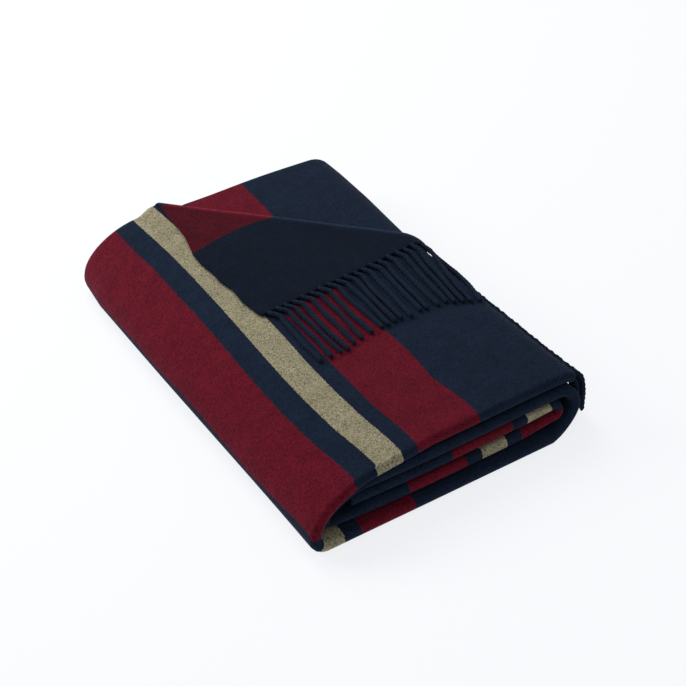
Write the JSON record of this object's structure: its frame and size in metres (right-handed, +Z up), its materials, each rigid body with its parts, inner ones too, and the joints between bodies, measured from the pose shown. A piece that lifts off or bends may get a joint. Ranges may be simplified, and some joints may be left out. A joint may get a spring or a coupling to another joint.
{
  "type": "folded blanket",
  "caption": "Wool throw folded in thirds and wound into a flat bundle, one corner turned back to show its twisted fringe; it rests flat on its lowest layer.",
  "frame": {"origin": "on the floor, below the middle of the bundle's bounding box", "axes": "+Y along the bundle's long side, away from the viewer of the picture; +X along its short side, to the right; +Z up"},
  "size_m": [0.3058, 0.456, 0.0625],
  "materials": {
    "wool_cloth": "matte milled wool, navy with burgundy and tan crosswise bands",
    "wool_fringe": "matte twisted wool, navy"
  },
  "bodies": {
    "root": {"blanket": "wool_cloth", "fringe_flap": "wool_fringe", "fringe_edge": "wool_fringe", "fringe_under": "wool_fringe"}
  },
  "joints": []
}
